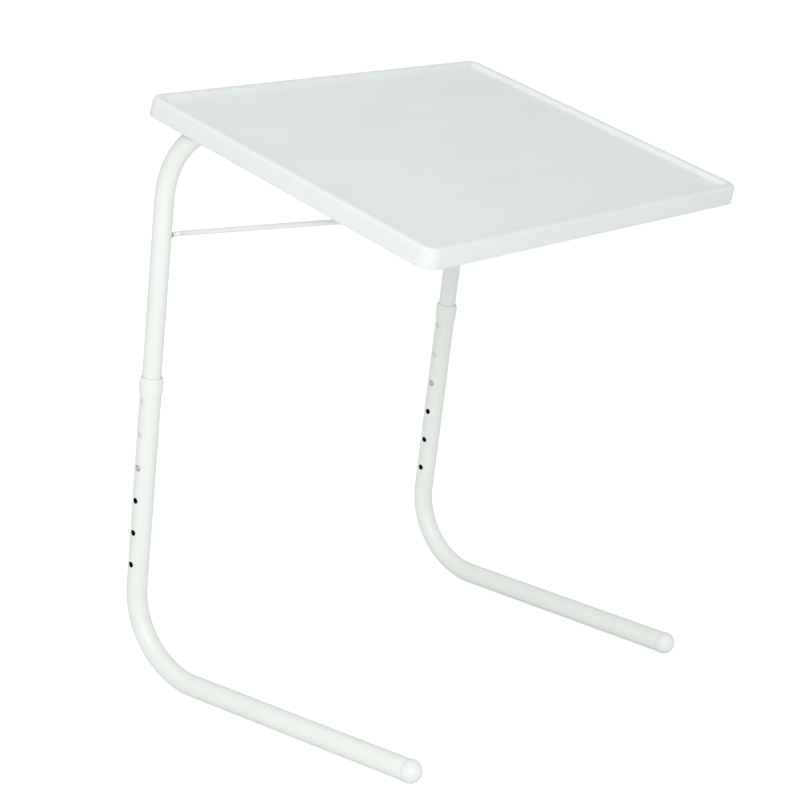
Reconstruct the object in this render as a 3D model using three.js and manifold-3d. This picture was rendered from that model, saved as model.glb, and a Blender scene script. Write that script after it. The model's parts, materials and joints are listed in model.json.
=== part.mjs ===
// Folding tray table with a tilting top: a moulded tray on two C-shaped tubular legs.
// Millimetres, +Z up. The user sits on the -Y side, where the feet point. +X is to the user's right.
import * as THREE from 'three';
import { mergeVertices } from 'three/addons/utils/BufferGeometryUtils.js';
import Module from 'manifold-3d';

const wasm = await Module();
wasm.setup();

// ---------------------------------------------------------------- driving dimensions
const TRAY_WIDTH = 520;
const TRAY_DEPTH = 402;
const TRAY_CORNER_RADIUS = 17;
const TRAY_TILT = THREE.MathUtils.degToRad(15.3); // front edge down, as set in the middle notch
const RIM_HEIGHT = 20.5;
const RIM_TOP_WIDTH = 11;
const RIM_ROUNDING = 4;
const FLOOR_RECESS = 5; // how far the work surface lies below the rim
const FLOOR_THICKNESS = 3;
const SKIRT_THICKNESS = 2.6;
const RIB_DEPTH = 3.5;
const RIB_WIDTH = 2.4;
const RIB_REACH = 195; // ribs stay inside this half width, clear of the brackets

const POST_HALF_SPACING = 244;
const POST_LEAN = THREE.MathUtils.degToRad(7.3); // posts lean forward over the feet
const FOOT_TOE_IN = THREE.MathUtils.degToRad(2.6);
const LOWER_TUBE_RADIUS = 11.7;
const LOWER_TUBE_BORE = 10.6;
const UPPER_TUBE_RADIUS = 10.3;
const UPPER_TUBE_BORE = 9.2;
const LOWER_BEND_RADIUS = 85;
const UPPER_BEND_RADIUS = 94;
const UPPER_BEND_START = 555; // along the post, from where its axis meets the floor
const UPPER_BEND_TURN = THREE.MathUtils.degToRad(55);
const UPPER_TUBE_TAIL = 9; // past the hinge axis
const UPPER_TUBE_FOOT = 232.9; // lower end of the upper tube, along the post
const LOWER_TUBE_TOP = 354; // along the post
const FOOT_REACH = 404; // where the foot tube ends and its cap starts

const HOLE_PITCH = 38.9;
const HOLE_COUNT = 6;
const HOLE_RADIUS = 3.45;
const BUTTON_HEIGHT = 254.9; // along the post; the third hole from the top is engaged
const HOLES_ABOVE_BUTTON = 2;
const BUTTON_RADIUS = 2.9;
const BUTTON_FLANGE_RADIUS = 4.3;
const BUTTON_OUTER_END = 12.9; // from the post axis
const BUTTON_SHOULDER = 7.8;
const BUTTON_INNER_END = 5.8;

const COLLAR_RADIUS = 12.85;
const COLLAR_BORE = 12.0;
const COLLAR_LIP_BORE = 10.62;
const COLLAR_BOTTOM = 340.5; // along the post
const COLLAR_TOP = 359.5;
const COLLAR_CHAMFER = 1.2;

const CAP_RADIUS = 12.4;
const CAP_DOME_LENGTH = 16.5;
const CAP_DOME_ROUND = 12;
const CAP_STEM_LENGTH = 16;
const CAP_BASE_DROP = 0.3; // the cap's flat base lies this much below the tube

const HINGE_SETBACK = 65; // hinge axis to the tray's back edge, along the tray
const HINGE_DEPTH = 23.5; // hinge axis below the rim's top
const CROSS_TUBE_RADIUS = 6;
const CROSS_TUBE_BORE = 4.8;
const CROSS_TUBE_HALF_LENGTH = 233.4; // it butts against the posts
const LUG_THICKNESS = 6;
const LUG_OUTER_FACE = 232.9;
const LUG_RADIUS = 9.6;
const BRACKET_PLATE = { width: 36, length: 46, thickness: 3 };

const NOTCH_SPACING = 36;
const NOTCH_SETBACK = 302; // middle notch to the tray's back edge
const NOTCH_DEPTH = 15; // notch centre below the rim's top
const RACK_CENTRE_X = 150;
const RACK = { width: 18, length: 104, depth: 14.5 };

const STRUT_RADIUS = 2.75;
const STRUT_ARM_X = 220;
const STRUT_TIP_X = 229.5;
const STRUT_POST_HEIGHT = 516.2; // along the post
const STRUT_CORNER_RADIUS = 12;
const STRUT_TIP_RADIUS = 6;
const BUSH_FLANGE_RADIUS = 3.5;
const BUSH_SHANK_RADIUS = 2.9;

const SCREW = { headRadius: 3.6, headHeight: 2.2, shankRadius: 1.7 };
const SCREW_COVER = 0.8; // floor left above a screw hole

const CLEARANCE = 0.3; // gap kept between pieces that touch
const TUBE_SIDES = 16;
const ROD_SIDES = 8;
const HOLE_SIDES = 10;
const BEND_STEP = THREE.MathUtils.degToRad(10);
const ROD_BEND_STEP = THREE.MathUtils.degToRad(18);
const LONG = 80; // longer than any cut it makes

// ---------------------------------------------------------------- materials
const paintedSteel = () => new THREE.MeshStandardMaterial({ color: 0xf0f5f0, roughness: 0.32, metalness: 0.1 });
const trayPlastic = () => new THREE.MeshStandardMaterial({ color: 0xe4ebe5, roughness: 0.55, metalness: 0 });
const whitePlastic = () => new THREE.MeshStandardMaterial({ color: 0xf0f4f6, roughness: 0.4, metalness: 0 });
const darkRubber = () => new THREE.MeshStandardMaterial({ color: 0x7d8280, roughness: 0.7, metalness: 0 });
const platedSteel = () => new THREE.MeshStandardMaterial({ color: 0xc9ccca, roughness: 0.3, metalness: 0.9 });

// ---------------------------------------------------------------- solids
function toSolid(geometry) {
  const bare = geometry.clone();
  bare.deleteAttribute('normal');
  bare.deleteAttribute('uv');
  const merged = mergeVertices(bare, 1e-4);
  const triVerts = new Uint32Array(merged.index.array);
  const vertProperties = new Float32Array(merged.attributes.position.array);
  const solid = new wasm.Manifold(new wasm.Mesh({ numProp: 3, vertProperties, triVerts }));
  if (solid.volume() > 0) return solid;
  for (let i = 0; i < triVerts.length; i += 3) {
    [triVerts[i], triVerts[i + 1]] = [triVerts[i + 1], triVerts[i]];
  }
  return new wasm.Manifold(new wasm.Mesh({ numProp: 3, vertProperties, triVerts }));
}

function toGeometry(solid) {
  const { vertProperties, triVerts } = solid.getMesh();
  const geometry = new THREE.BufferGeometry();
  geometry.setAttribute('position', new THREE.BufferAttribute(vertProperties, 3));
  geometry.setIndex(new THREE.BufferAttribute(triVerts, 1));
  geometry.computeVertexNormals();
  return geometry;
}

function addPiece(parent, name, solid, material) {
  const mesh = new THREE.Mesh(toGeometry(solid), material);
  mesh.name = name;
  parent.add(mesh);
}

function box(x0, x1, y0, y1, z0, z1) {
  const geometry = new THREE.BoxGeometry(x1 - x0, y1 - y0, z1 - z0);
  geometry.translate((x0 + x1) / 2, (y0 + y1) / 2, (z0 + z1) / 2);
  return toSolid(geometry);
}

// A turned solid about the line through `origin` along `direction`; profile points are [radius, height].
function turned(profile, origin, direction, sides = TUBE_SIDES) {
  const points = profile.map(([radius, height]) => new THREE.Vector2(radius, height));
  const geometry = new THREE.LatheGeometry(points, sides);
  const up = new THREE.Vector3(0, 1, 0);
  geometry.applyQuaternion(new THREE.Quaternion().setFromUnitVectors(up, direction.clone().normalize()));
  geometry.translate(origin.x, origin.y, origin.z);
  return toSolid(geometry);
}

function rod(radius, from, to, sides = TUBE_SIDES) {
  const axis = to.clone().sub(from);
  const length = axis.length();
  return turned([[0, 0], [radius, 0], [radius, length], [0, length]], from, axis, sides);
}

function acrossX(radius, y, z, x0, x1, sides = TUBE_SIDES) {
  return rod(radius, new THREE.Vector3(x0, y, z), new THREE.Vector3(x1, y, z), sides);
}

function roundedRectangle(width, depth, radius) {
  const [w, d] = [width / 2, depth / 2];
  const shape = new THREE.Shape();
  shape.absarc(w - radius, d - radius, radius, 0, Math.PI / 2);
  shape.absarc(-w + radius, d - radius, radius, Math.PI / 2, Math.PI);
  shape.absarc(-w + radius, -d + radius, radius, Math.PI, 1.5 * Math.PI);
  shape.absarc(w - radius, -d + radius, radius, 1.5 * Math.PI, 2 * Math.PI);
  return shape;
}

// A rounded slab between two heights with both its edges rounded by `bevel`.
function slab(width, depth, radius, z0, z1, bevel, centreY) {
  const geometry = new THREE.ExtrudeGeometry(roundedRectangle(width, depth, radius), {
    depth: z1 - z0 - 2 * bevel, curveSegments: 4, bevelEnabled: bevel > 0,
    bevelThickness: bevel, bevelSize: bevel, bevelOffset: -bevel, bevelSegments: 2,
  });
  geometry.translate(0, centreY, z0 + bevel);
  return toSolid(geometry);
}

// ---------------------------------------------------------------- bent tubes
// A path with its own list of stations, so bends get many sections and straights only two.
class StationPath extends THREE.Curve {
  constructor(stations) {
    super();
    this.stations = stations;
  }

  station(t) {
    return this.stations[Math.round(t * (this.stations.length - 1))];
  }

  getPoint(t, target = new THREE.Vector3()) {
    return target.copy(this.station(t).point);
  }

  getPointAt(t, target) {
    return this.getPoint(t, target);
  }

  getTangentAt(t, target = new THREE.Vector3()) {
    return target.copy(this.station(t).tangent);
  }
}

// Straight runs between the corners, with each inner corner rounded to its radius.
function bentPath(corners, radii, bendStep = BEND_STEP) {
  const stations = [];
  const first = corners[1].clone().sub(corners[0]).normalize();
  stations.push({ point: corners[0], tangent: first });
  for (let i = 1; i < corners.length - 1; i += 1) {
    const before = corners[i].clone().sub(corners[i - 1]).normalize();
    const after = corners[i + 1].clone().sub(corners[i]).normalize();
    const turn = before.angleTo(after);
    const inward = after.clone().addScaledVector(before, -after.dot(before)).normalize();
    const radius = radii[i - 1];
    const start = corners[i].clone().addScaledVector(before, -radius * Math.tan(turn / 2));
    const centre = start.clone().addScaledVector(inward, radius);
    const steps = Math.ceil(turn / bendStep);
    for (let k = 0; k <= steps; k += 1) {
      const angle = (turn * k) / steps;
      const point = centre.clone()
        .addScaledVector(inward, -radius * Math.cos(angle))
        .addScaledVector(before, radius * Math.sin(angle));
      const tangent = before.clone().multiplyScalar(Math.cos(angle)).addScaledVector(inward, Math.sin(angle));
      stations.push({ point, tangent });
    }
  }
  const last = corners[corners.length - 1];
  const end = last.clone().sub(corners[corners.length - 2]).normalize();
  stations.push({ point: last, tangent: end });
  return new StationPath(stations);
}

function ringShape(outer, inner) {
  const shape = new THREE.Shape();
  shape.absarc(0, 0, outer, 0, 2 * Math.PI);
  if (inner > 0) {
    const hole = new THREE.Path();
    hole.absarc(0, 0, inner, 0, 2 * Math.PI, true);
    shape.holes.push(hole);
  }
  return shape;
}

function sweep(path, outer, inner, sides) {
  return toSolid(new THREE.ExtrudeGeometry(ringShape(outer, inner), {
    steps: path.stations.length - 1, curveSegments: sides / 2, extrudePath: path,
  }));
}

// ---------------------------------------------------------------- the posts' own geometry
const postUp = new THREE.Vector3(0, -Math.sin(POST_LEAN), Math.cos(POST_LEAN));
const postForward = new THREE.Vector3(0, -Math.cos(POST_LEAN), -Math.sin(POST_LEAN));

function onPost(side, along) {
  return new THREE.Vector3(side * POST_HALF_SPACING, 0, 0).addScaledVector(postUp, along);
}

// A point beside the post: `out` is along X, positive away from the table's middle.
function besidePost(side, along, out) {
  return onPost(side, along).add(new THREE.Vector3(side * out, 0, 0));
}

const hingeDirection = postUp.clone().multiplyScalar(Math.cos(UPPER_BEND_TURN))
  .addScaledVector(postForward, Math.sin(UPPER_BEND_TURN));

function hingePoint(side) {
  return onPost(side, UPPER_BEND_START)
    .addScaledVector(postForward, UPPER_BEND_RADIUS * (1 - Math.cos(UPPER_BEND_TURN)))
    .addScaledVector(postUp, UPPER_BEND_RADIUS * Math.sin(UPPER_BEND_TURN));
}

const hinge = hingePoint(0);

// ---------------------------------------------------------------- tray and what is fixed to it
// The tray is drawn flat about its hinge axis: y runs back, z is square to the work surface.
const backY = HINGE_SETBACK;
const frontY = backY - TRAY_DEPTH;
const rimTopZ = HINGE_DEPTH;
const rimBottomZ = rimTopZ - RIM_HEIGHT;
const floorTopZ = rimTopZ - FLOOR_RECESS;
const undersideZ = floorTopZ - FLOOR_THICKNESS;
const trayMiddleY = (backY + frontY) / 2;
const notchY = backY - NOTCH_SETBACK;
const notchZ = rimTopZ - NOTCH_DEPTH;

function trayTop() {
  const inset = (amount, z0, z1, bevel) => slab(TRAY_WIDTH - 2 * amount, TRAY_DEPTH - 2 * amount,
    TRAY_CORNER_RADIUS - Math.min(amount, TRAY_CORNER_RADIUS - 5), z0, z1, bevel, trayMiddleY);
  const block = inset(0, rimBottomZ - 2 * RIM_ROUNDING, rimTopZ, RIM_ROUNDING);
  const trim = box(-TRAY_WIDTH, TRAY_WIDTH, frontY - LONG, backY + LONG, rimBottomZ - LONG, rimBottomZ);
  const pocket = inset(RIM_TOP_WIDTH, floorTopZ, rimTopZ + LONG, 1.5);
  const cavity = inset(SKIRT_THICKNESS, rimBottomZ - LONG, undersideZ, 2);
  let tray = block.subtract(trim).subtract(pocket).subtract(cavity);
  const ribTop = undersideZ + 0.5;
  const ribBottom = undersideZ - RIB_DEPTH;
  for (const x of [-RIB_REACH, -65, 65, RIB_REACH]) {
    tray = tray.add(box(x - RIB_WIDTH / 2, x + RIB_WIDTH / 2, frontY + 8, backY - 8, ribBottom, ribTop));
  }
  for (const y of [frontY + 30, trayMiddleY - 20, backY - 30]) {
    tray = tray.add(box(-RIB_REACH, RIB_REACH, y - RIB_WIDTH / 2, y + RIB_WIDTH / 2, ribBottom, ribTop));
  }
  const racks = [-1, 1].map((side) => side * RACK_CENTRE_X);
  for (const x of racks) {
    const half = RACK.width / 2 + 1;
    tray = tray.subtract(box(x - half, x + half, notchY - RACK.length / 2 - 1, notchY + RACK.length / 2 + 1,
      ribBottom - 1, undersideZ));
  }
  for (const [x, y] of screwPlaces()) {
    tray = tray.subtract(rod(SCREW.shankRadius + CLEARANCE, new THREE.Vector3(x, y, ribBottom - 1),
      new THREE.Vector3(x, y, floorTopZ - SCREW_COVER), HOLE_SIDES));
  }
  return tray;
}

function bracketScrewX(side) {
  return side * (LUG_OUTER_FACE - BRACKET_PLATE.width + 9);
}

function screwPlaces() {
  const places = [];
  for (const side of [-1, 1]) {
    for (const y of [-15, 15]) places.push([bracketScrewX(side), y]);
    for (const y of [-1, 1]) places.push([side * RACK_CENTRE_X, notchY + (y * NOTCH_SPACING) / 2]);
  }
  return places;
}

// A plate screwed under the tray, with a lug that turns on the cross tube.
function hingeBracket(side) {
  const outer = side * LUG_OUTER_FACE;
  const inner = side * (LUG_OUTER_FACE - LUG_THICKNESS);
  const plateEnd = side * (LUG_OUTER_FACE - BRACKET_PLATE.width);
  const top = undersideZ - CLEARANCE;
  const half = BRACKET_PLATE.length / 2;
  const [x0, x1] = [Math.min(outer, inner), Math.max(outer, inner)];
  const [p0, p1] = [Math.min(outer, plateEnd), Math.max(outer, plateEnd)];
  const plate = box(p0, p1, -half, half, top - BRACKET_PLATE.thickness, top);
  const web = box(x0, x1, -LUG_RADIUS, LUG_RADIUS, 0, top - 1);
  const boss = acrossX(LUG_RADIUS, 0, 0, x0, x1);
  let bracket = plate.add(web).add(boss);
  bracket = bracket.subtract(acrossX(CROSS_TUBE_RADIUS + CLEARANCE, 0, 0, x0 - 1, x1 + 1));
  for (const y of [-15, 15]) {
    const x = bracketScrewX(side);
    bracket = bracket.subtract(rod(SCREW.shankRadius + CLEARANCE, new THREE.Vector3(x, y, 0),
      new THREE.Vector3(x, y, top + 1), HOLE_SIDES));
  }
  return bracket;
}

// A block with three slots, open below, that hold the strut's cross-bar.
function notchRack(side) {
  const x = side * RACK_CENTRE_X;
  const top = undersideZ - CLEARANCE;
  const [x0, x1] = [x - RACK.width / 2, x + RACK.width / 2];
  const bottom = top - RACK.depth;
  let rack = box(x0, x1, notchY - RACK.length / 2, notchY + RACK.length / 2, bottom, top);
  const slotRadius = STRUT_RADIUS + CLEARANCE + 0.1;
  for (const step of [-1, 0, 1]) {
    const y = notchY + step * NOTCH_SPACING;
    rack = rack.subtract(acrossX(slotRadius, y, notchZ, x0 - 1, x1 + 1, HOLE_SIDES));
    rack = rack.subtract(box(x0 - 1, x1 + 1, y - slotRadius, y + slotRadius, bottom - 1, notchZ));
  }
  for (const step of [-1, 1]) {
    const y = notchY + (step * NOTCH_SPACING) / 2;
    const seat = bottom + 9;
    rack = rack.subtract(rod(SCREW.shankRadius + CLEARANCE, new THREE.Vector3(x, y, bottom),
      new THREE.Vector3(x, y, top + 1), HOLE_SIDES));
    rack = rack.subtract(rod(SCREW.headRadius + CLEARANCE, new THREE.Vector3(x, y, bottom - 1),
      new THREE.Vector3(x, y, seat), HOLE_SIDES));
  }
  return rack;
}

// A pan-head screw driven upwards, with a cross recess; `seatZ` is where its head bears.
function screw(x, y, seatZ) {
  const { headRadius, headHeight, shankRadius } = SCREW;
  const length = floorTopZ - SCREW_COVER - CLEARANCE - seatZ;
  const profile = [[0, -headHeight], [headRadius - 1, -headHeight], [headRadius, -headHeight + 0.9],
    [headRadius, 0], [shankRadius, 0], [shankRadius, length - 1], [0, length]];
  const body = turned(profile, new THREE.Vector3(x, y, seatZ), new THREE.Vector3(0, 0, 1), HOLE_SIDES);
  const bottom = seatZ - headHeight;
  const slot = (wx, wy) => box(x - wx, x + wx, y - wy, y + wy, bottom - 1, bottom + 1.2);
  return body.subtract(slot(1.9, 0.4)).subtract(slot(0.4, 1.9));
}

function buildTray(tray) {
  addPiece(tray, 'tray_top', trayTop(), trayPlastic());
  for (const [side, word] of [[-1, 'left'], [1, 'right']]) {
    addPiece(tray, `hinge_bracket_${word}`, hingeBracket(side), whitePlastic());
    addPiece(tray, `notch_rack_${word}`, notchRack(side), whitePlastic());
    const bracketSeat = undersideZ - CLEARANCE - BRACKET_PLATE.thickness - CLEARANCE;
    const rackSeat = undersideZ - CLEARANCE - RACK.depth + 9 - CLEARANCE;
    for (const [step, place] of [[-1, 'front'], [1, 'rear']]) {
      addPiece(tray, `bracket_screw_${word}_${place}`,
        screw(bracketScrewX(side), step * 15, bracketSeat), platedSteel());
      addPiece(tray, `rack_screw_${word}_${place}`,
        screw(side * RACK_CENTRE_X, notchY + (step * NOTCH_SPACING) / 2, rackSeat), platedSteel());
    }
  }
}

// ---------------------------------------------------------------- strut
function tiltStrut() {
  const notch = new THREE.Vector3(0, notchY, notchZ).applyAxisAngle(new THREE.Vector3(1, 0, 0), TRAY_TILT);
  notch.add(hinge);
  const tip = onPost(0, STRUT_POST_HEIGHT);
  const at = (x, point) => new THREE.Vector3(x, point.y, point.z);
  const corners = [at(-STRUT_TIP_X, tip), at(-STRUT_ARM_X, tip), at(-STRUT_ARM_X, notch),
    at(STRUT_ARM_X, notch), at(STRUT_ARM_X, tip), at(STRUT_TIP_X, tip)];
  const radii = [STRUT_TIP_RADIUS, STRUT_CORNER_RADIUS, STRUT_CORNER_RADIUS, STRUT_TIP_RADIUS];
  return sweep(bentPath(corners, radii, ROD_BEND_STEP), STRUT_RADIUS, 0, ROD_SIDES);
}

// ---------------------------------------------------------------- upper frame
function upperTube(side) {
  const corner = UPPER_BEND_START + UPPER_BEND_RADIUS * Math.tan(UPPER_BEND_TURN / 2);
  const end = hingePoint(side).addScaledVector(hingeDirection, UPPER_TUBE_TAIL);
  const path = bentPath([onPost(side, UPPER_TUBE_FOOT), onPost(side, corner), end], [UPPER_BEND_RADIUS]);
  const reach = UPPER_TUBE_RADIUS + 2;
  const strutHole = rod(BUSH_SHANK_RADIUS + CLEARANCE, besidePost(side, STRUT_POST_HEIGHT, -reach),
    besidePost(side, STRUT_POST_HEIGHT, 0), HOLE_SIDES);
  const buttonHole = rod(HOLE_RADIUS, besidePost(side, BUTTON_HEIGHT, -reach),
    besidePost(side, BUTTON_HEIGHT, reach), HOLE_SIDES);
  return sweep(path, UPPER_TUBE_RADIUS, UPPER_TUBE_BORE, TUBE_SIDES)
    .subtract(strutHole).subtract(buttonHole);
}

// A moulded plug that closes the upper tube past the hinge axis.
function tubePlug(side) {
  const base = hingePoint(side).addScaledVector(hingeDirection, UPPER_TUBE_TAIL);
  const stem = UPPER_TUBE_BORE - CLEARANCE;
  const lip = UPPER_TUBE_RADIUS - 0.4;
  const profile = [[0, -2], [stem, -2], [stem, CLEARANCE], [lip, CLEARANCE], [lip - 0.8, 1.4], [0, 1.9]];
  return turned(profile, base, hingeDirection);
}

function crossTube() {
  const end = CROSS_TUBE_HALF_LENGTH;
  const outer = acrossX(CROSS_TUBE_RADIUS, hinge.y, hinge.z, -end, end);
  return outer.subtract(acrossX(CROSS_TUBE_BORE, hinge.y, hinge.z, -end - 1, end + 1));
}

// The bush in the post's inner wall that the strut's tip points into.
function strutBush(side) {
  const origin = besidePost(side, STRUT_POST_HEIGHT, -UPPER_TUBE_RADIUS - CLEARANCE);
  const reach = POST_HALF_SPACING - UPPER_TUBE_RADIUS - STRUT_TIP_X - 2 * CLEARANCE;
  const profile = [[0, -3], [BUSH_SHANK_RADIUS, -3], [BUSH_SHANK_RADIUS, 0], [BUSH_FLANGE_RADIUS, 0],
    [BUSH_FLANGE_RADIUS, reach - 0.6], [BUSH_FLANGE_RADIUS - 0.6, reach], [0, reach]];
  return turned(profile, origin, new THREE.Vector3(-side, 0, 0), HOLE_SIDES);
}

// A bent leaf spring inside the upper tube, one arm behind each button.
function clipSpring(side) {
  const thickness = 0.8;
  const outer = BUTTON_INNER_END - CLEARANCE;
  const inner = outer - thickness;
  const low = BUTTON_HEIGHT - 18;
  const high = BUTTON_HEIGHT + 6;
  const shape = new THREE.Shape();
  shape.moveTo(outer, high);
  shape.lineTo(inner, high);
  shape.lineTo(inner, low + outer);
  shape.absarc(0, low + outer, inner, 0, Math.PI, true);
  shape.lineTo(-inner, high);
  shape.lineTo(-outer, high);
  shape.lineTo(-outer, low + outer);
  shape.absarc(0, low + outer, outer, Math.PI, 2 * Math.PI, false);
  const width = 6;
  const geometry = new THREE.ExtrudeGeometry(shape, { depth: width, bevelEnabled: false, curveSegments: 6 });
  geometry.translate(0, 0, -width / 2);
  const turn = new THREE.Matrix4().makeBasis(new THREE.Vector3(1, 0, 0), postUp,
    new THREE.Vector3(1, 0, 0).cross(postUp));
  geometry.applyMatrix4(turn);
  geometry.translate(side * POST_HALF_SPACING, 0, 0);
  return toSolid(geometry);
}

// One domed button with the flange that keeps it in the tube; `way` is +1 on the post's +X side.
function heightButton(side, way) {
  const origin = onPost(side, BUTTON_HEIGHT);
  const profile = [[0, BUTTON_INNER_END], [BUTTON_FLANGE_RADIUS, BUTTON_INNER_END],
    [BUTTON_FLANGE_RADIUS, BUTTON_SHOULDER], [BUTTON_RADIUS, BUTTON_SHOULDER],
    [BUTTON_RADIUS, BUTTON_OUTER_END - 0.9], [BUTTON_RADIUS - 0.9, BUTTON_OUTER_END - 0.2], [0, BUTTON_OUTER_END]];
  return turned(profile, origin, new THREE.Vector3(way, 0, 0), HOLE_SIDES);
}

function buildUpperFrame(frame) {
  addPiece(frame, 'cross_tube', crossTube(), paintedSteel());
  for (const [side, word] of [[-1, 'left'], [1, 'right']]) {
    addPiece(frame, `upper_tube_${word}`, upperTube(side), paintedSteel());
    addPiece(frame, `tube_plug_${word}`, tubePlug(side), whitePlastic());
    addPiece(frame, `strut_bush_${word}`, strutBush(side), darkRubber());
    addPiece(frame, `clip_spring_${word}`, clipSpring(side), platedSteel());
    addPiece(frame, `height_button_${word}_outer`, heightButton(side, side), platedSteel());
    addPiece(frame, `height_button_${word}_inner`, heightButton(side, -side), platedSteel());
  }
}

// ---------------------------------------------------------------- lower legs
function footDirection(side) {
  return new THREE.Vector3(-side * Math.sin(FOOT_TOE_IN), -Math.cos(FOOT_TOE_IN), 0);
}

function footCorner(side) {
  return onPost(side, LOWER_TUBE_RADIUS / Math.cos(POST_LEAN));
}

function footEnd(side) {
  const corner = footCorner(side);
  const length = (FOOT_REACH + corner.y) / Math.cos(FOOT_TOE_IN);
  return corner.addScaledVector(footDirection(side), length);
}

function lowerTube(side) {
  const path = bentPath([onPost(side, LOWER_TUBE_TOP), footCorner(side), footEnd(side)], [LOWER_BEND_RADIUS]);
  let tube = sweep(path, LOWER_TUBE_RADIUS, LOWER_TUBE_BORE, TUBE_SIDES);
  const reach = LOWER_TUBE_RADIUS + 2;
  for (let i = 0; i < HOLE_COUNT; i += 1) {
    const along = BUTTON_HEIGHT + (HOLES_ABOVE_BUTTON - i) * HOLE_PITCH;
    tube = tube.subtract(rod(HOLE_RADIUS, besidePost(side, along, -reach), besidePost(side, along, reach), HOLE_SIDES));
  }
  return tube;
}

// The sleeve over the lower tube's mouth, with a lip that guides the upper tube.
function collar(side) {
  const height = COLLAR_TOP - COLLAR_BOTTOM;
  const lipStart = LOWER_TUBE_TOP + CLEARANCE - COLLAR_BOTTOM;
  const profile = [[COLLAR_BORE, 0], [COLLAR_RADIUS, 0], [COLLAR_RADIUS, height - COLLAR_CHAMFER],
    [COLLAR_RADIUS - COLLAR_CHAMFER, height], [COLLAR_LIP_BORE, height], [COLLAR_LIP_BORE, lipStart],
    [COLLAR_BORE, lipStart], [COLLAR_BORE, 0]];
  return turned(profile, onPost(side, COLLAR_BOTTOM), postUp);
}

// The domed plug in the foot's open end, cut flat underneath where it stands.
function footCap(side) {
  const stem = LOWER_TUBE_BORE - CLEARANCE - 0.1;
  const straight = CAP_DOME_LENGTH - CAP_DOME_ROUND;
  const profile = [[0, -CAP_STEM_LENGTH], [stem - 1.5, -CAP_STEM_LENGTH], [stem, -CAP_STEM_LENGTH + 2],
    [stem, CLEARANCE], [CAP_RADIUS, CLEARANCE], [CAP_RADIUS, straight]];
  const steps = 4;
  for (let i = 1; i < steps; i += 1) {
    const angle = (i / steps) * (Math.PI / 2);
    profile.push([CAP_RADIUS * Math.cos(angle), straight + CAP_DOME_ROUND * Math.sin(angle)]);
  }
  profile.push([0, CAP_DOME_LENGTH]);
  const end = footEnd(side);
  const cut = box(end.x - LONG, end.x + LONG, end.y - LONG, end.y + LONG, -LONG, -CAP_BASE_DROP);
  return turned(profile, end, footDirection(side)).subtract(cut);
}

function buildLeg(leg, side, word) {
  addPiece(leg, `lower_tube_${word}`, lowerTube(side), paintedSteel());
  addPiece(leg, `collar_${word}`, collar(side), whitePlastic());
  addPiece(leg, `foot_cap_${word}`, footCap(side), whitePlastic());
}

// ---------------------------------------------------------------- assembly
const table = new THREE.Group();
const tray = new THREE.Group();
tray.position.copy(hinge);
tray.rotation.x = TRAY_TILT;
buildTray(tray);
table.add(tray);
addPiece(table, 'tilt_strut', tiltStrut(), paintedSteel());
buildUpperFrame(table);
buildLeg(table, -1, 'left');
buildLeg(table, 1, 'right');

// The origin is on the floor under the middle of the table's footprint.
table.updateMatrixWorld(true);
const extent = new THREE.Box3().setFromObject(table, true);
const middle = extent.getCenter(new THREE.Vector3());
table.position.set(-middle.x, -middle.y, -extent.min.z);

const group = new THREE.Group();
group.add(table);
export default group;
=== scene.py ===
import json
import math
import bmesh
import bpy
from mathutils import Euler, Matrix, Vector


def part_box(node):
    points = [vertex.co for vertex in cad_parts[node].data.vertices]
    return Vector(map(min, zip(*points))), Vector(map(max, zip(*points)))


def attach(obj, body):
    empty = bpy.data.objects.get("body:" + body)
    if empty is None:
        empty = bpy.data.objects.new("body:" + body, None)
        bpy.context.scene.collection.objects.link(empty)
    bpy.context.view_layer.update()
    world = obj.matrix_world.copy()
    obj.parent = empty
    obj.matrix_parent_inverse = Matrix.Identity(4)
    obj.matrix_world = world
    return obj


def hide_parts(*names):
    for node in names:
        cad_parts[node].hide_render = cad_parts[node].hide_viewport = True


# Looks for a folding tray table with a tilting top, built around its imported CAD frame. Metres, +Z up.
# The user sits on the -Y side, where the feet point. Left is -X.
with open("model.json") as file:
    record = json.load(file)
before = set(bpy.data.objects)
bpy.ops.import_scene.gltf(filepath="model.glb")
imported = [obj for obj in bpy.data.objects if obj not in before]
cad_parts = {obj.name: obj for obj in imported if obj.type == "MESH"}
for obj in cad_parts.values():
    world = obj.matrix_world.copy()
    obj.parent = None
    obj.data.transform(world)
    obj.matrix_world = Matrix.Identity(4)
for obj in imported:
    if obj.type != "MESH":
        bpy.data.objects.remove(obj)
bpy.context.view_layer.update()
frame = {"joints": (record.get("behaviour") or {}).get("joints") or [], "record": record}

# ---------------------------------------------------------------- places, from the frame
joints = {joint["name"]: joint for joint in frame["joints"]}
mounts = {mount["name"]: mount for mount in frame["record"]["mounts"]}
HINGE = Vector(joints["tray_tilt"]["pos_m"])
NOTCH = Vector(joints["strut_swing"]["pos_m"])
POST_UP = -Vector(joints["leg_height_left"]["axis"]).normalized()
SURFACE_UP = Vector(mounts["work_surface"]["axis"])
TRAY_TILT = math.atan2(-SURFACE_UP.y, SURFACE_UP.z)
X_AXIS = Vector((1, 0, 0))
POST_FORWARD = POST_UP.cross(X_AXIS)
if POST_FORWARD.y > 0:
    POST_FORWARD.negate()
SIDES = (("left", -1), ("right", 1))
SQUARE = ((-1, -1), (1, -1), (1, 1), (-1, 1))


def node_span(*nodes):
    """The lowest and highest corners of several CAD nodes together."""
    boxes = [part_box(node) for node in nodes]
    low = Vector([min(box[0][i] for box in boxes) for i in range(3)])
    high = Vector([max(box[1][i] for box in boxes) for i in range(3)])
    return low, high


button_low, button_high = node_span("height_button_right_outer", "height_button_right_inner")
BUTTON_CENTRE = (button_low + button_high) / 2
POST_HALF_SPACING = BUTTON_CENTRE.x
CAP_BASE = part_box("foot_cap_left")[0].z
TUBE_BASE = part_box("lower_tube_left")[0].z
FOOT_TIP = -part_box("foot_cap_left")[0].y

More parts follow.
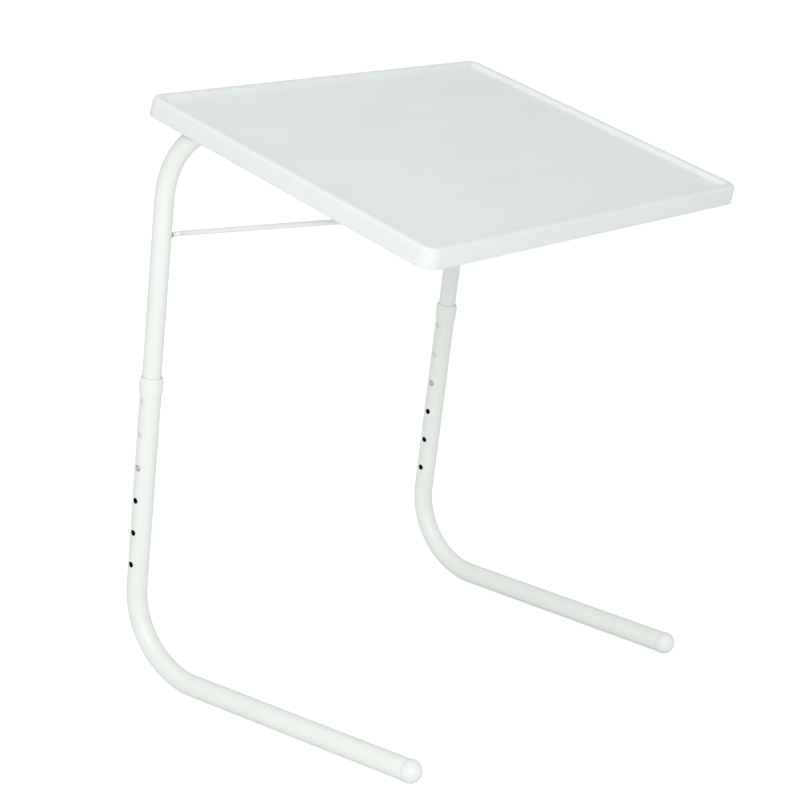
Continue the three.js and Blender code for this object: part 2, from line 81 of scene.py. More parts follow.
# ---------------------------------------------------------------- driving dimensions, metres
TRAY_WIDTH = 0.520
TRAY_DEPTH = 0.402
TRAY_CORNER_RADIUS = 0.017
TRAY_INNER_CORNER = 0.005
RIM_HEIGHT = 0.0205
FLOOR_RECESS = 0.005
FLOOR_THICKNESS = 0.003
HINGE_SETBACK = 0.065
HINGE_DEPTH = 0.0235
RIB_DEPTH = 0.0035
RIB_WIDTH = 0.0024
RIB_REACH = 0.195
RIB_INNER_X = 0.065
RIB_END_SETBACK = 0.008
RIB_ROW_SETBACK = 0.030
RIB_ROW_OFFSET = 0.020

LOWER_TUBE_RADIUS = 0.0117
LOWER_TUBE_BORE = 0.0106
UPPER_TUBE_RADIUS = 0.0103
UPPER_TUBE_BORE = 0.0092
LOWER_BEND_RADIUS = 0.085
UPPER_BEND_RADIUS = 0.094
UPPER_BEND_START = 0.555
UPPER_BEND_TURN = math.radians(55)
UPPER_TUBE_TAIL = 0.009
UPPER_TUBE_FOOT = 0.2329
LOWER_TUBE_TOP = 0.354
FOOT_TOE_IN = math.radians(2.6)

HOLE_PITCH = 0.0389
HOLE_COUNT = 6
HOLE_RADIUS = 0.00345
HOLES_ABOVE_BUTTON = 2
BUTTON_HEIGHT = 0.2549
BUTTON_RADIUS = 0.0029
BUTTON_FLANGE_RADIUS = 0.0043
BUTTON_INNER_END = 0.0058
BUTTON_SHOULDER = 0.0078
BUTTON_OUTER_END = 0.0129

COLLAR_RADIUS = 0.01285
COLLAR_BORE = 0.0120
COLLAR_LIP_BORE = 0.01062
COLLAR_BOTTOM = 0.3405
COLLAR_TOP = 0.3595

CAP_RADIUS = 0.0124
CAP_LENGTH = 0.0165
CAP_ROUND = 0.0121
CAP_STEM_LENGTH = 0.016

CROSS_TUBE_RADIUS = 0.006
CROSS_TUBE_BORE = 0.0048
CROSS_TUBE_HALF_LENGTH = 0.2334
LUG_THICKNESS = 0.006
LUG_OUTER_FACE = 0.2329
LUG_RADIUS = 0.0096
PLATE_WIDTH = 0.036
PLATE_LENGTH = 0.046
PLATE_THICKNESS = 0.003
BRACKET_SCREW_SPACING = 0.030
BRACKET_SOFTENING = 0.0005

NOTCH_SPACING = 0.036
RACK_CENTRE_X = 0.150
RACK_WIDTH = 0.018
RACK_LENGTH = 0.104
RACK_DEPTH = 0.0145
RACK_SEAT = 0.009

STRUT_RADIUS = 0.00275
STRUT_ARM_X = 0.220
STRUT_TIP_X = 0.2295
STRUT_POST_HEIGHT = 0.5162
STRUT_CORNER_RADIUS = 0.012
STRUT_TIP_RADIUS = 0.006
BUSH_FLANGE_RADIUS = 0.0035
BUSH_SHANK_RADIUS = 0.0029
BUSH_DEPTH = 0.003

SCREW_HEAD_RADIUS = 0.0036
SCREW_HEAD_HEIGHT = 0.0022
SCREW_SHANK_RADIUS = 0.0017
SCREW_COVER = 0.0008
THREAD_PITCH = 0.00045
CLEARANCE = 0.0003
MM = 0.001

ROUND_SIDES = 64
SMALL_SIDES = 40
BEND_STEP = math.radians(2.5)
SHARP_ANGLE = math.radians(32)


# ---------------------------------------------------------------- materials
def node_material(name, colour, roughness, metallic=0.0, coat=0.0):
    """A Principled material in one colour; mottle(), wear() and grain() add its detail."""
    material = bpy.data.materials.new(name)
    material.use_nodes = True
    shader = material.node_tree.nodes["Principled BSDF"]
    shader.inputs["Base Color"].default_value = (*colour, 1)
    shader.inputs["Roughness"].default_value = roughness
    shader.inputs["Metallic"].default_value = metallic
    shader.inputs["Coat Weight"].default_value = coat
    shader.inputs["Coat Roughness"].default_value = 0.2
    return material


def noise(tree, scale, detail, stretch=(1, 1, 1)):
    """A noise texture in the object's own coordinates; scale is in waves per metre."""
    coordinates = tree.nodes.new("ShaderNodeTexCoord")
    mapping = tree.nodes.new("ShaderNodeMapping")
    mapping.inputs["Scale"].default_value = stretch
    texture = tree.nodes.new("ShaderNodeTexNoise")
    texture.inputs["Scale"].default_value = scale
    texture.inputs["Detail"].default_value = detail
    tree.links.new(coordinates.outputs["Object"], mapping.inputs["Vector"])
    tree.links.new(mapping.outputs["Vector"], texture.inputs["Vector"])
    return texture.outputs["Fac"]


def spread(tree, value, low, high):
    """Maps noise, which lies mostly between 0.3 and 0.7, to a range."""
    node = tree.nodes.new("ShaderNodeMapRange")
    node.inputs["From Min"].default_value = 0.3
    node.inputs["From Max"].default_value = 0.7
    node.inputs["To Min"].default_value = low
    node.inputs["To Max"].default_value = high
    tree.links.new(value, node.inputs["Value"])
    return node.outputs["Result"]


def mottle(material, dark, light, scale, stretch=(1, 1, 1)):
    """Varies the colour gently between two tones."""
    tree = material.node_tree
    ramp = tree.nodes.new("ShaderNodeMix")
    ramp.data_type = "RGBA"
    ramp.inputs["A"].default_value = (*dark, 1)
    ramp.inputs["B"].default_value = (*light, 1)
    tree.links.new(spread(tree, noise(tree, scale, 3, stretch), 0, 1), ramp.inputs["Factor"])
    tree.links.new(ramp.outputs["Result"], tree.nodes["Principled BSDF"].inputs["Base Color"])


def wear(material, low, high, scale, stretch=(1, 1, 1)):
    """Varies the roughness, as handling and moulding do."""
    tree = material.node_tree
    value = spread(tree, noise(tree, scale, 4, stretch), low, high)
    tree.links.new(value, tree.nodes["Principled BSDF"].inputs["Roughness"])


def grain(material, layers):
    """Raises fine texture; each layer is (waves per metre, height, stretch)."""
    tree = material.node_tree
    normal = None
    for scale, height, stretch in layers:
        bump = tree.nodes.new("ShaderNodeBump")
        bump.inputs["Strength"].default_value = 1
        bump.inputs["Distance"].default_value = height
        tree.links.new(noise(tree, scale, 2, stretch), bump.inputs["Height"])
        if normal:
            tree.links.new(normal, bump.inputs["Normal"])
        normal = bump.outputs["Normal"]
    tree.links.new(normal, tree.nodes["Principled BSDF"].inputs["Normal"])


def powder_coat():
    """Semi-gloss sprayed paint: a faint orange peel and slightly uneven gloss."""
    colour = (0.872, 0.918, 0.872)
    material = node_material("powder_coat", colour, 0.34, coat=0.15)
    mottle(material, [channel * 0.985 for channel in colour], colour, 35)
    wear(material, 0.30, 0.42, 90)
    grain(material, [(420, 0.00004, (1, 1, 1)), (60, 0.00012, (1, 1, 1))])
    return material


def tray_moulding():
    """Matt moulded plastic with a fine spark-eroded grain and faint flow marks across the width."""
    colour = (0.835, 0.885, 0.845)
    material = node_material("tray_moulding", colour, 0.5)
    mottle(material, [channel * 0.975 for channel in colour], colour, 9, (1, 2.5, 2.5))
    wear(material, 0.44, 0.58, 28)
    grain(material, [(1500, 0.00003, (1, 1, 1)), (520, 0.00003, (1, 1, 1))])
    return material


def satin_moulding(name, colour):
    """Smoother moulded plastic of the caps, collars and hidden brackets."""
    material = node_material(name, colour, 0.38)
    mottle(material, [channel * 0.98 for channel in colour], colour, 60)
    wear(material, 0.33, 0.44, 140)
    grain(material, [(900, 0.00002, (1, 1, 1))])
    return material


def bush_rubber():
    material = node_material("bush_rubber", (0.42, 0.44, 0.43), 0.7)
    mottle(material, (0.38, 0.40, 0.39), (0.46, 0.48, 0.47), 400)
    grain(material, [(1800, 0.00005, (1, 1, 1))])
    return material


def zinc_plate():
    material = node_material("zinc_plate", (0.70, 0.71, 0.69), 0.3, metallic=1)
    mottle(material, (0.62, 0.63, 0.62), (0.74, 0.75, 0.73), 700)
    wear(material, 0.22, 0.42, 900, (1, 1, 0.2))
    return material


def bare_bore_painted_shade():
    """The inside of the tubes, which the paint doesn't reach, given a near-black that paints the shade inside
    the tubes and their holes.
    """
    material = node_material("bare_bore_painted_shade", (0.030, 0.034, 0.031), 0.6, metallic=0.4)
    mottle(material, (0.022, 0.025, 0.023), (0.045, 0.048, 0.044), 300)
    return material


PAINT = powder_coat()
TRAY_PLASTIC = tray_moulding()
SATIN = satin_moulding("satin_moulding", (0.875, 0.915, 0.902))
COLLAR_PLASTIC = satin_moulding("collar_moulding", (0.885, 0.935, 0.885))
RUBBER = bush_rubber()
ZINC = zinc_plate()
# The bore's near-black is painted shade for the tube insides and the dark hole walls, as well as bare steel.
BORE_PAINTED_SHADE = bare_bore_painted_shade()


# ---------------------------------------------------------------- mesh helpers
def add_piece(name, mesh_source, materials, body, slot, *nodes):
    """Turns a bmesh into a smooth-shaded piece that rides on a body and stands for its CAD nodes."""
    bmesh.ops.remove_doubles(mesh_source, verts=mesh_source.verts, dist=1e-7)
    bmesh.ops.recalc_face_normals(mesh_source, faces=mesh_source.faces)
    mesh = bpy.data.meshes.new(name)
    mesh_source.to_mesh(mesh)
    mesh_source.free()
    piece = bpy.data.objects.new(name, mesh)
    bpy.context.scene.collection.objects.link(piece)
    for material in materials:
        mesh.materials.append(material)
    mesh.shade_smooth()
    mesh.set_sharp_from_angle(angle=SHARP_ANGLE)
    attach(piece, body)
    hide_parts(*nodes)
    return piece


def boolean(target, cutter, operation):
    """Joins or cuts two bmeshes with the exact solver and returns the result."""
    objects = []
    for source in (target, cutter):
        bmesh.ops.recalc_face_normals(source, faces=source.faces)
        mesh = bpy.data.meshes.new("boolean")
        source.to_mesh(mesh)
        source.free()
        mesh.materials.append(None)
        mesh.materials.append(None)
        item = bpy.data.objects.new("boolean", mesh)
        bpy.context.scene.collection.objects.link(item)
        objects.append(item)
    base, tool = objects
    modifier = base.modifiers.new("cut", "BOOLEAN")
    modifier.operation = operation
    modifier.solver = "EXACT"
    modifier.object = tool
    graph = bpy.context.evaluated_depsgraph_get()
    result = bmesh.new()
    result.from_object(base, graph)
    for item in objects:
        mesh = item.data
        bpy.data.objects.remove(item)
        bpy.data.meshes.remove(mesh)
    return result


def join_shapes(first, *others):
    """Joins closed shapes into one body."""
    for other in others:
        first = boolean(first, other, "UNION")
    return first


def cut_shapes(first, *others):
    for other in others:
        first = boolean(first, other, "DIFFERENCE")
    return first


def loft(rings, closed=False):
    """Joins rings of points by faces. A ring of one point is a tip; closed joins the last to the first."""
    shape = bmesh.new()
    rows = [[shape.verts.new(point) for point in ring] for ring in rings]
    pairs = list(zip(rows, rows[1:]))
    if closed:
        pairs.append((rows[-1], rows[0]))
    for before, after in pairs:
        count = max(len(before), len(after))
        for i in range(count):
            corners = [before[i % len(before)], before[(i + 1) % len(before)],
                       after[(i + 1) % len(after)], after[i % len(after)]]
            corners = [v for k, v in enumerate(corners) if v not in corners[:k]]
            shape.faces.new(corners)
    if not closed:
        for row in (rows[0], rows[-1]):
            if len(row) > 1:
                shape.faces.new(row)
    return shape


def filleted(points, steps=5, closed=False):
    """Rounds the corners of an outline; each point is (a, b) or (a, b, radius)."""
    outline = []
    count = len(points)
    for i, point in enumerate(points):
        here = Vector(point[:2])
        radius = point[2] if len(point) > 2 else 0
        inner = closed or 0 < i < count - 1
        if radius <= 0 or not inner:
            outline.append(here)
            continue
        before = (Vector(points[i - 1][:2]) - here).normalized()
        after = (Vector(points[(i + 1) % count][:2]) - here).normalized()
        half = before.angle(after) / 2
        reach = radius / math.tan(half)
        centre = here + (before + after).normalized() * radius / math.sin(half)
        start = here + before * reach - centre
        turn = math.pi - 2 * half
        sign = 1 if before.x * after.y - before.y * after.x < 0 else -1
        for k in range(steps + 1):
            outline.append(centre + Matrix.Rotation(sign * turn * k / steps, 2) @ start)
    return outline


def turned(profile, origin, direction, sides=ROUND_SIDES, closed=False):
    """A turned shape; profile points are (radius, height), from tip to tip or round a closed section."""
    axis = direction.normalized()
    across = axis.orthogonal().normalized()
    other = axis.cross(across)
    rings = []
    for radius, height in profile:
        centre = origin + axis * height
        if radius < 1e-6:
            rings.append([centre])
            continue
        angles = [2 * math.pi * i / sides for i in range(sides)]
        rings.append([centre + (across * math.cos(a) + other * math.sin(a)) * radius for a in angles])
    return loft(rings, closed)


def rod(radius, start, end, sides=SMALL_SIDES):
    length = (end - start).length
    return turned([(0, 0), (radius, 0), (radius, length), (0, length)], start, end - start, sides)


def bent_path(corners, radii, step=BEND_STEP):
    """Points and directions along straight runs whose inner corners are rounded."""
    stations = [(corners[0], (corners[1] - corners[0]).normalized())]
    for i, radius in enumerate(radii, start=1):
        before = (corners[i] - corners[i - 1]).normalized()
        after = (corners[i + 1] - corners[i]).normalized()
        turn = before.angle(after)
        inward = (after - before * after.dot(before)).normalized()
        start = corners[i] - before * radius * math.tan(turn / 2)
        centre = start + inward * radius
        steps = math.ceil(turn / step)
        for k in range(steps + 1):
            angle = turn * k / steps
            point = centre - inward * radius * math.cos(angle) + before * radius * math.sin(angle)
            stations.append((point, before * math.cos(angle) + inward * math.sin(angle)))
    stations.append((corners[-1], (corners[-1] - corners[-2]).normalized()))
    return stations


def station_frames(stations):
    """Adds to each station two directions square to the path that don't twist along it."""
    tangent = stations[0][1]
    across = tangent.orthogonal().normalized()
    frames = []
    for point, direction in stations:
        across = tangent.rotation_difference(direction) @ across
        tangent = direction
        frames.append((point, direction, across, direction.cross(across)))
    return frames


def ring_at(station, radius, shift=0, sides=ROUND_SIDES):
    point, direction, across, other = station
    centre = point + direction * shift
    angles = [2 * math.pi * i / sides for i in range(sides)]
    return [centre + (across * math.cos(a) + other * math.sin(a)) * radius for a in angles]


def tube(stations, outer, bore, sides=ROUND_SIDES):
    """A bent tube with rolled mouths. Its bore has material index 1, which the pieces give the near-black
    painted shade.
    """
    frames = station_frames(stations)
    wall = (outer - bore) / 2
    mouth = [math.pi / 2 * k / 4 for k in range(5)]
    middle = outer - wall
    rings = []
    for angle in mouth[:-1]:
        shift = wall - wall * math.cos(angle)
        rings.append(ring_at(frames[0], middle + wall * math.sin(angle), shift, sides))
    rings.append(ring_at(frames[0], outer, wall, sides))
    rings += [ring_at(station, outer, 0, sides) for station in frames[1:-1]]
    rings.append(ring_at(frames[-1], outer, -wall, sides))
    for angle in mouth[1:]:
        shift = -wall + wall * math.sin(angle)
        rings.append(ring_at(frames[-1], middle + wall * math.cos(angle), shift, sides))
    for angle in mouth[1:]:
        shift = -wall + wall * math.cos(angle)
        rings.append(ring_at(frames[-1], middle - wall * math.sin(angle), shift, sides))
    bore_start = len(rings) - 1
    rings += [ring_at(station, bore, 0, sides) for station in reversed(frames[1:-1])]
    rings.append(ring_at(frames[0], bore, wall, sides))
    bore_end = len(rings) - 1
    for angle in mouth[1:-1]:
        shift = wall - wall * math.sin(angle)
        rings.append(ring_at(frames[0], middle - wall * math.cos(angle), shift, sides))
    shape = loft(rings, closed=True)
    shape.faces.ensure_lookup_table()
    for face in shape.faces[bore_start * sides:bore_end * sides]:
        face.material_index = 1
    return shape


def solid_rod(stations, radius, sides=SMALL_SIDES):
    """A bent rod with softly rounded ends."""
    frames = station_frames(stations)
    dome = [math.pi / 2 * k / 6 for k in range(7)]
    soft = radius * 0.6
    flat = radius - soft
    rings = [[frames[0][0]]]
    for angle in dome:
        rings.append(ring_at(frames[0], flat + soft * math.sin(angle), soft * (1 - math.cos(angle)), sides))
    rings += [ring_at(station, radius, 0, sides) for station in frames[1:-1]]
    for angle in dome:
        rings.append(ring_at(frames[-1], flat + soft * math.cos(angle), -soft * (1 - math.sin(angle)), sides))
    rings.append([frames[-1][0]])
    return loft(rings)


def extruded(outline, place, depth, soften=0.0):
    """A flat outline given depth; place(a, b, c) turns outline and depth values into a point."""
    shape = loft([[place(p[0], p[1], c) for p in outline] for c in (0, depth)])
    if soften > 0:
        bmesh.ops.recalc_face_normals(shape, faces=shape.faces)
        edges = [e for e in shape.edges if e.calc_face_angle(0) > math.radians(50)]
        bmesh.ops.bevel(shape, geom=edges, offset=soften, segments=3, profile=0.5, affect="EDGES")
    return shape


def moved(shape, matrix):
    shape.transform(matrix)
    return shape


# ---------------------------------------------------------------- places on the posts and the feet
def on_post(side, along):
    """A point on a post's axis, by its distance from where the axis meets the tubes' floor level."""
    point = BUTTON_CENTRE + POST_UP * (along - BUTTON_HEIGHT)
    return Vector((side * POST_HALF_SPACING, point.y, point.z))


def foot_direction(side):
    return Vector((-side * math.sin(FOOT_TOE_IN), -math.cos(FOOT_TOE_IN), 0))


def foot_corner(side):
    lift = (TUBE_BASE + LOWER_TUBE_RADIUS - on_post(side, 0).z) / POST_UP.z
    return on_post(side, lift)


def foot_end(side):
    tip = Vector((0, -FOOT_TIP, 0))
    corner = foot_corner(side)
    length = (corner.y - tip.y) / math.cos(FOOT_TOE_IN) - CAP_LENGTH
    return corner + foot_direction(side) * length


HINGE_DIRECTION = POST_UP * math.cos(UPPER_BEND_TURN) + POST_FORWARD * math.sin(UPPER_BEND_TURN)
TRAY_PLACE = Matrix.Translation(HINGE) @ Matrix.Rotation(TRAY_TILT, 4, "X")

# In the tray's own frame y runs back from the hinge axis and z is square to the work surface.
BACK_Y = HINGE_SETBACK
FRONT_Y = BACK_Y - TRAY_DEPTH
TRAY_MIDDLE_Y = (BACK_Y + FRONT_Y) / 2
RIM_TOP_Z = HINGE_DEPTH
FLOOR_TOP_Z = RIM_TOP_Z - FLOOR_RECESS
UNDERSIDE_Z = FLOOR_TOP_Z - FLOOR_THICKNESS
NOTCH_LOCAL = TRAY_PLACE.inverted() @ NOTCH


# ---------------------------------------------------------------- the tray
def rounded_loop(inset, z, corner_steps=14):
    """The tray's outline, pulled in by inset, with its corners still round."""
    half_width = TRAY_WIDTH / 2 - inset
    half_depth = TRAY_DEPTH / 2 - inset
    radius = max(TRAY_CORNER_RADIUS - inset, TRAY_INNER_CORNER)
    points = []
    for quarter, (sx, sy) in enumerate(((1, 1), (-1, 1), (-1, -1), (1, -1))):
        centre = Vector((sx * (half_width - radius), TRAY_MIDDLE_Y + sy * (half_depth - radius), z))
        for k in range(corner_steps + 1):
            angle = math.pi / 2 * (quarter + k / corner_steps)
            points.append(centre + Vector((math.cos(angle), math.sin(angle), 0)) * radius)
    return points


def tray_shell():
    """The moulded tray: recessed floor, crowned rim with a soft inner slope, and a drafted skirt."""
    section = filleted([
        (60 * MM, -FLOOR_RECESS),
        (14.2 * MM, -FLOOR_RECESS, 3.2 * MM),
        (11.2 * MM, -0.2 * MM, 3.0 * MM),
        (6.4 * MM, 0, 12 * MM),
        (1.5 * MM, -0.3 * MM, 4.0 * MM),
        (0, -RIM_HEIGHT, 0.9 * MM),
        (2.5 * MM, -RIM_HEIGHT, 0.8 * MM),
        (3.4 * MM, -FLOOR_RECESS - FLOOR_THICKNESS, 1.5 * MM),
        (60 * MM, -FLOOR_RECESS - FLOOR_THICKNESS),
    ], steps=6)
    rings = [rounded_loop(inset, RIM_TOP_Z + z) for inset, z in section]
    return loft(rings)


def rib(x0, x1, y0, y1):
    """A stiffening rib under the floor, narrower at its free edge."""
    top = UNDERSIDE_Z + 0.5 * MM
    bottom = UNDERSIDE_Z - RIB_DEPTH
    pull = 0.35 * MM
    rings = []
    for z, p in ((top, 0), (bottom + 0.4 * MM, pull), (bottom, pull + 0.4 * MM)):
        rings.append([Vector((x0 + p, y0 + p, z)), Vector((x1 - p, y0 + p, z)),
                      Vector((x1 - p, y1 - p, z)), Vector((x0 + p, y1 - p, z))])
    return loft(rings)


def rib_lattice():
    """All ribs joined, broken where the notch racks lie."""
    half = RIB_WIDTH / 2
    shape = None
    for x in (-RIB_REACH, -RIB_INNER_X, RIB_INNER_X, RIB_REACH):
        strip = rib(x - half, x + half, FRONT_Y + RIB_END_SETBACK, BACK_Y - RIB_END_SETBACK)
        shape = strip if shape is None else join_shapes(shape, strip)
    for y in (FRONT_Y + RIB_ROW_SETBACK, TRAY_MIDDLE_Y - RIB_ROW_OFFSET, BACK_Y - RIB_ROW_SETBACK):
        shape = join_shapes(shape, rib(-RIB_REACH, RIB_REACH, y - half, y + half))
    y_half = RACK_LENGTH / 2 + MM
    x_half = RACK_WIDTH / 2 + MM
    for _, side in SIDES:
        x = side * RACK_CENTRE_X
        gap = loft([[Vector((x + sx * x_half, NOTCH_LOCAL.y + sy * y_half, z)) for sx, sy in SQUARE]
                    for z in (UNDERSIDE_Z - 2 * RIB_DEPTH, UNDERSIDE_Z + 2 * MM)])
        shape = cut_shapes(shape, gap)
    return shape


def bracket_screw_x(side):
    return side * (LUG_OUTER_FACE - PLATE_WIDTH + 9 * MM)


def screw_places(side):
    """Name part, x, y and seat height of each screw on one side."""
    bracket_seat = UNDERSIDE_Z - PLATE_THICKNESS - 2 * CLEARANCE
    rack_seat = UNDERSIDE_Z - RACK_DEPTH + RACK_SEAT - 2 * CLEARANCE
    places = []
    for word, step in (("front", -1), ("rear", 1)):
        y = step * BRACKET_SCREW_SPACING / 2
        places.append((f"bracket_screw_{{}}_{word}", bracket_screw_x(side), y, bracket_seat))
        y = NOTCH_LOCAL.y + step * NOTCH_SPACING / 2
        places.append((f"rack_screw_{{}}_{word}", side * RACK_CENTRE_X, y, rack_seat))
    return places


def build_tray():
    shape = join_shapes(tray_shell(), rib_lattice())
    for _, side in SIDES:
        for _, x, y, _ in screw_places(side):
            low = Vector((x, y, UNDERSIDE_Z - 2 * RIB_DEPTH))
            high = Vector((x, y, FLOOR_TOP_Z - SCREW_COVER))
            shape = cut_shapes(shape, rod(SCREW_SHANK_RADIUS + CLEARANCE, low, high, 24))
    add_piece("tray_moulded", moved(shape, TRAY_PLACE), [TRAY_PLASTIC], "tray", "tray_plastic", "tray_top")


# ---------------------------------------------------------------- what is screwed under the tray
def hinge_bracket(side):
    """A plate with rounded corners, a lug that widens into a boss round the axle, and two gussets."""
    outer = LUG_OUTER_FACE
    inner = outer - LUG_THICKNESS
    top = UNDERSIDE_Z - CLEARANCE
    bottom = top - PLATE_THICKNESS
    half = PLATE_LENGTH / 2
    plate_outline = filleted([(outer - PLATE_WIDTH, -half, 4 * MM), (outer, -half, 2 * MM),
                              (outer, half, 2 * MM), (outer - PLATE_WIDTH, half, 4 * MM)], closed=True)
    plate = extruded(plate_outline, lambda a, b, c: Vector((side * a, b, bottom + c)),
                     PLATE_THICKNESS, BRACKET_SOFTENING)
    boss = [(LUG_RADIUS * math.cos(a), LUG_RADIUS * math.sin(a))
            for a in [math.pi + math.pi * k / 24 for k in range(25)]]
    wing = half - 5 * MM
    neck = LUG_RADIUS + 1.5 * MM
    neck_z = bottom - 3.5 * MM
    lug_outline = boss + [(neck, neck_z), (wing, bottom + MM), (-wing, bottom + MM), (-neck, neck_z)]
    lug = extruded(lug_outline, lambda a, b, c: Vector((side * (inner + c), a, b)),
                   LUG_THICKNESS, BRACKET_SOFTENING)
    shape = join_shapes(plate, lug)
    reach = 14 * MM
    for y in (-6 * MM, 6 * MM):
        outline = [(inner + MM, bottom + MM), (inner + MM, bottom - 7 * MM), (inner - reach, bottom + MM)]
        gusset = extruded(outline, lambda a, b, c: Vector((side * a, y - MM + c, b)), 2 * MM)
        shape = join_shapes(shape, gusset)
    ends = [Vector((side * (inner - MM), 0, 0)), Vector((side * (outer + MM), 0, 0))]
    shape = cut_shapes(shape, rod(CROSS_TUBE_RADIUS + CLEARANCE, *ends, ROUND_SIDES))
    for y in (-BRACKET_SCREW_SPACING / 2, BRACKET_SCREW_SPACING / 2):
        x = bracket_screw_x(side)
        shape = cut_shapes(shape, rod(SCREW_SHANK_RADIUS + CLEARANCE, Vector((x, y, bottom - MM)),
                                      Vector((x, y, top + MM)), 24))
    return shape


def notch_rack(side):
    """A block with three slots for the strut's cross-bar, each with a funnel mouth."""
    top = UNDERSIDE_Z - CLEARANCE
    bottom = top - RACK_DEPTH
    slot = STRUT_RADIUS + CLEARANCE + 0.1 * MM
    half = RACK_LENGTH / 2
    outline = [(-half, top, 1.2 * MM), (-half, bottom, 2.5 * MM)]
    for step in (-1, 0, 1):
        y = step * NOTCH_SPACING
        centre = Vector((y, NOTCH_LOCAL.z))
        outline.append((y - slot - 1.6 * MM, bottom, 0.6 * MM))
        outline.append((y - slot, bottom + 1.8 * MM, 0.8 * MM))
        for k in range(13):
            angle = math.pi - math.pi * k / 12
            outline.append((centre.x + slot * math.cos(angle), centre.y + slot * math.sin(angle)))
        outline.append((y + slot, bottom + 1.8 * MM, 0.8 * MM))
        outline.append((y + slot + 1.6 * MM, bottom, 0.6 * MM))
    outline += [(half, bottom, 2.5 * MM), (half, top, 1.2 * MM)]
    outline = filleted(outline, steps=3, closed=True)
    x0 = side * RACK_CENTRE_X - RACK_WIDTH / 2
    shape = extruded(outline, lambda a, b, c: Vector((x0 + c, NOTCH_LOCAL.y + a, b)), RACK_WIDTH)
    x = side * RACK_CENTRE_X
    for step in (-1, 1):
        y = NOTCH_LOCAL.y + step * NOTCH_SPACING / 2
        below = Vector((x, y, bottom - MM))
        seat = Vector((x, y, bottom + RACK_SEAT))
        shape = cut_shapes(
            shape,
            rod(SCREW_SHANK_RADIUS + CLEARANCE, Vector((x, y, bottom)), Vector((x, y, top + MM)), 24),
            rod(SCREW_HEAD_RADIUS + CLEARANCE, below, seat, 32))
    return shape


def screw_shape(length):
    """A pan-head screw pointing up, its head bearing at height 0, with a tapered cross recess."""
    head = SCREW_HEAD_RADIUS
    drop = SCREW_HEAD_HEIGHT
    shank = SCREW_SHANK_RADIUS
    profile = filleted([(0, -drop), (head * 0.55, -drop * 0.97, 0.4 * MM),
                        (head * 0.93, -drop * 0.55, 0.7 * MM), (head, 0, 0.1 * MM), (shank, 0)], steps=4)
    turns = int(length / THREAD_PITCH)
    crest = 0.25 * MM
    for i in range(turns):
        base = length * (i + 0.2) / (turns + 1)
        profile += [Vector((shank - crest, base)), Vector((shank, base + 0.22 * MM))]
    profile += [Vector((shank - crest, length - 0.3 * MM)), Vector((0, length))]
    shape = turned(profile, Vector((0, 0, 0)), Vector((0, 0, 1)), SMALL_SIDES)
    for wide, thin in ((1.9 * MM, 0.45 * MM), (0.45 * MM, 1.9 * MM)):
        rings = []
        for z, k in ((-drop - MM, 1.25), (-drop + 1.3 * MM, 0.6)):
            rings.append([Vector((sx * wide * k, sy * thin * k, z)) for sx, sy in SQUARE])
        shape = cut_shapes(shape, loft(rings))
    return shape


def build_underside():
    for word, side in SIDES:
        add_piece(f"axle_bracket_{word}", moved(hinge_bracket(side), TRAY_PLACE), [SATIN], "tray",
                  "white_plastic", f"hinge_bracket_{word}")
        add_piece(f"strut_rack_{word}", moved(notch_rack(side), TRAY_PLACE), [SATIN], "tray",
                  "white_plastic", f"notch_rack_{word}")
        for node, x, y, seat in screw_places(side):
            length = FLOOR_TOP_Z - SCREW_COVER - CLEARANCE - seat
            shape = moved(screw_shape(length), TRAY_PLACE @ Matrix.Translation((x, y, seat)))
            name = node.format(word)
            add_piece(name.replace("screw", "fixing"), shape, [ZINC], "tray", "plated_steel", name)


# ---------------------------------------------------------------- strut
def build_strut():
    tip = on_post(0, STRUT_POST_HEIGHT)

    def at(x, point):
        return Vector((x, point.y, point.z))

    corners = [at(-STRUT_TIP_X, tip), at(-STRUT_ARM_X, tip), at(-STRUT_ARM_X, NOTCH),
               at(STRUT_ARM_X, NOTCH), at(STRUT_ARM_X, tip), at(STRUT_TIP_X, tip)]
    radii = [STRUT_TIP_RADIUS, STRUT_CORNER_RADIUS, STRUT_CORNER_RADIUS, STRUT_TIP_RADIUS]
    shape = solid_rod(bent_path(corners, radii, math.radians(5)), STRUT_RADIUS)
    add_piece("wire_strut", shape, [PAINT], "strut", "painted_tube", "tilt_strut")


# ---------------------------------------------------------------- upper frame
def across_post(side, along, inner, outer, radius, wall=1):
    """A cutter across the post, from inner to outer, which are distances from its axis away from the middle.
    The wall of its hole takes the material with index wall; index 1, the default, is the bore's near-black
    painted shade."""
    centre = on_post(side, along)
    start = centre + X_AXIS * side * inner
    end = centre + X_AXIS * side * outer
    shape = rod(radius, start, end)
    for face in shape.faces:
        face.material_index = wall
    return shape


def build_post_tube(word, side):
    corner = UPPER_BEND_START + UPPER_BEND_RADIUS * math.tan(UPPER_BEND_TURN / 2)
    end = Vector((side * POST_HALF_SPACING, HINGE.y, HINGE.z)) + HINGE_DIRECTION * UPPER_TUBE_TAIL
    stations = bent_path([on_post(side, UPPER_TUBE_FOOT), on_post(side, corner), end], [UPPER_BEND_RADIUS])
    shape = tube(stations, UPPER_TUBE_RADIUS, UPPER_TUBE_BORE)
    reach = UPPER_TUBE_RADIUS + 2 * MM
    # Both holes take the default near-black walls: painted shade round the strut bush and the button.
    shape = cut_shapes(
        shape,
        across_post(side, STRUT_POST_HEIGHT, -reach, 0, BUSH_SHANK_RADIUS + CLEARANCE),
        across_post(side, BUTTON_HEIGHT, -reach, reach, HOLE_RADIUS))
    add_piece(f"post_tube_{word}", shape, [PAINT, BORE_PAINTED_SHADE], "upper_frame", "painted_tube",
              f"upper_tube_{word}")


